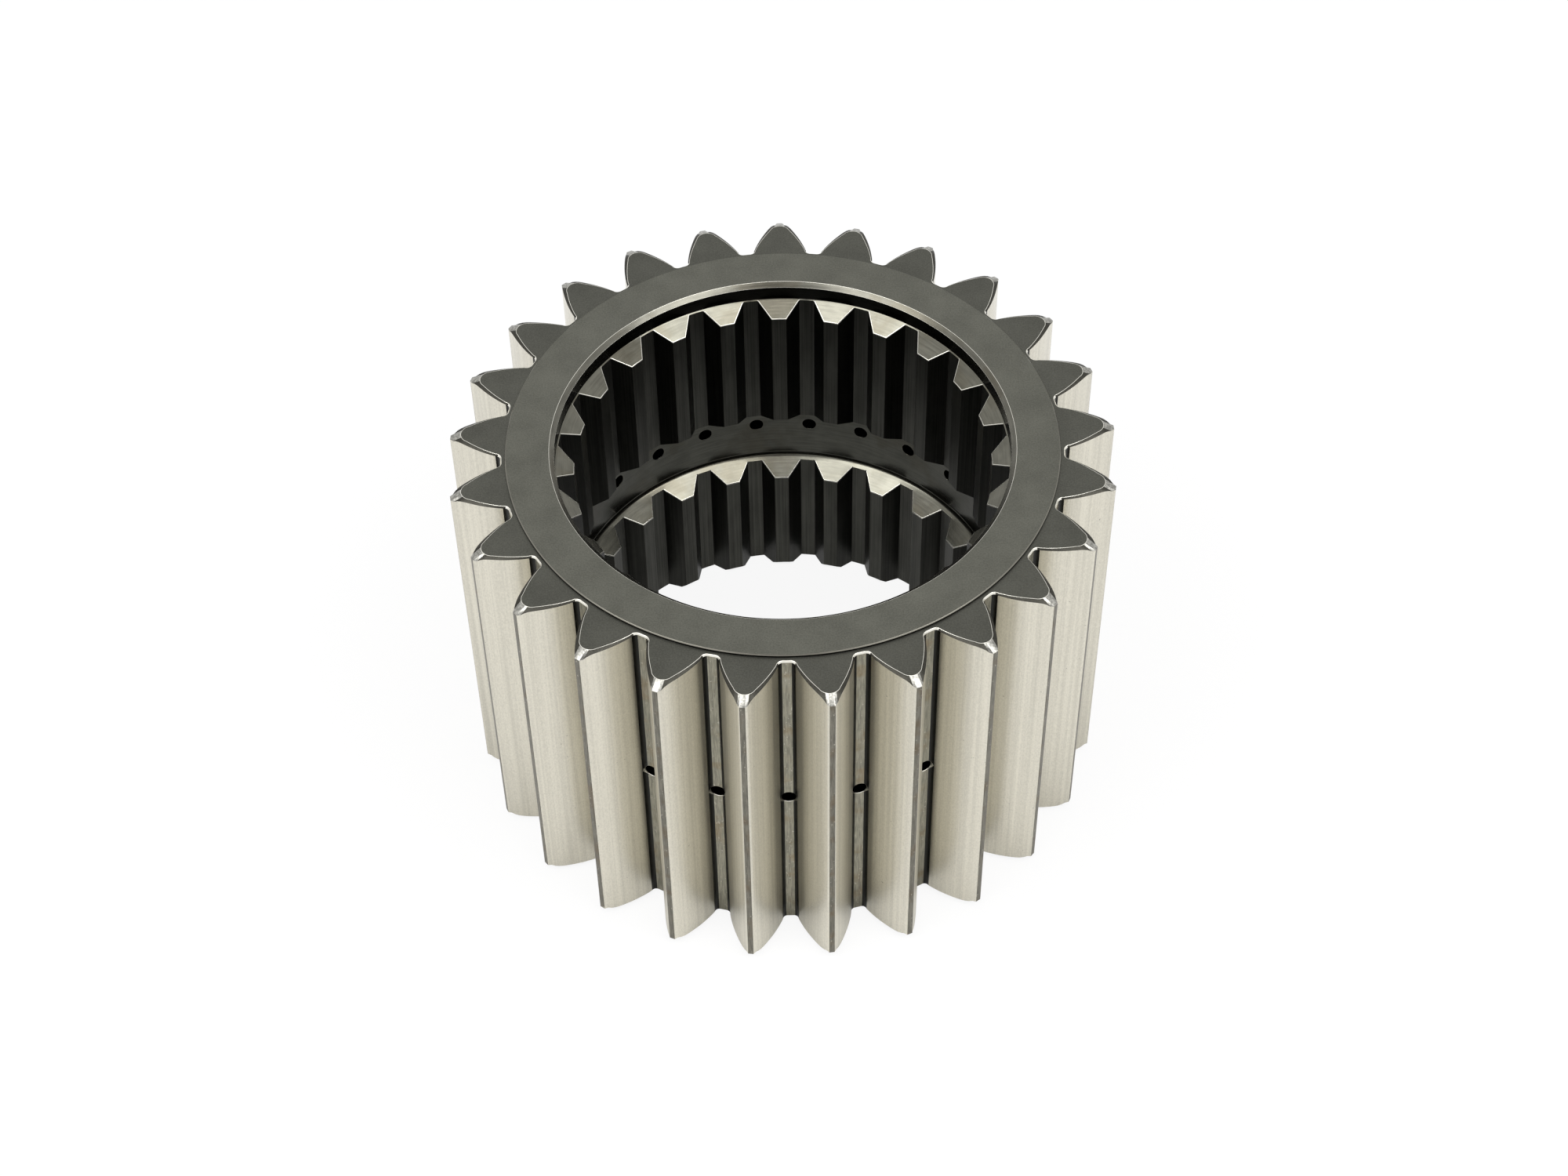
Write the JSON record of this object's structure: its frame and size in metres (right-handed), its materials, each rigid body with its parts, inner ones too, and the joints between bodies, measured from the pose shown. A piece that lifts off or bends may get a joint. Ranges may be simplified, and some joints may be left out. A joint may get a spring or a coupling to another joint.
{
  "type": "sun gear",
  "caption": "Sun gear ring with straight outer teeth, two straight inner splines parted by a ring groove, radial oil holes and a raised thrust ring at each end.",
  "frame": {"origin": "centre of the lower end face, where the raised thrust ring rests", "axes": "+Z along the gear's axis, from the end that rests towards the end with the round mouth of the bore; an outer tooth lies on +Y"},
  "size_m": [0.1098, 0.1096, 0.07],
  "materials": {
    "steel": "satin"
  },
  "bodies": {
    "root": {"sun_gear": "steel"}
  },
  "joints": []
}
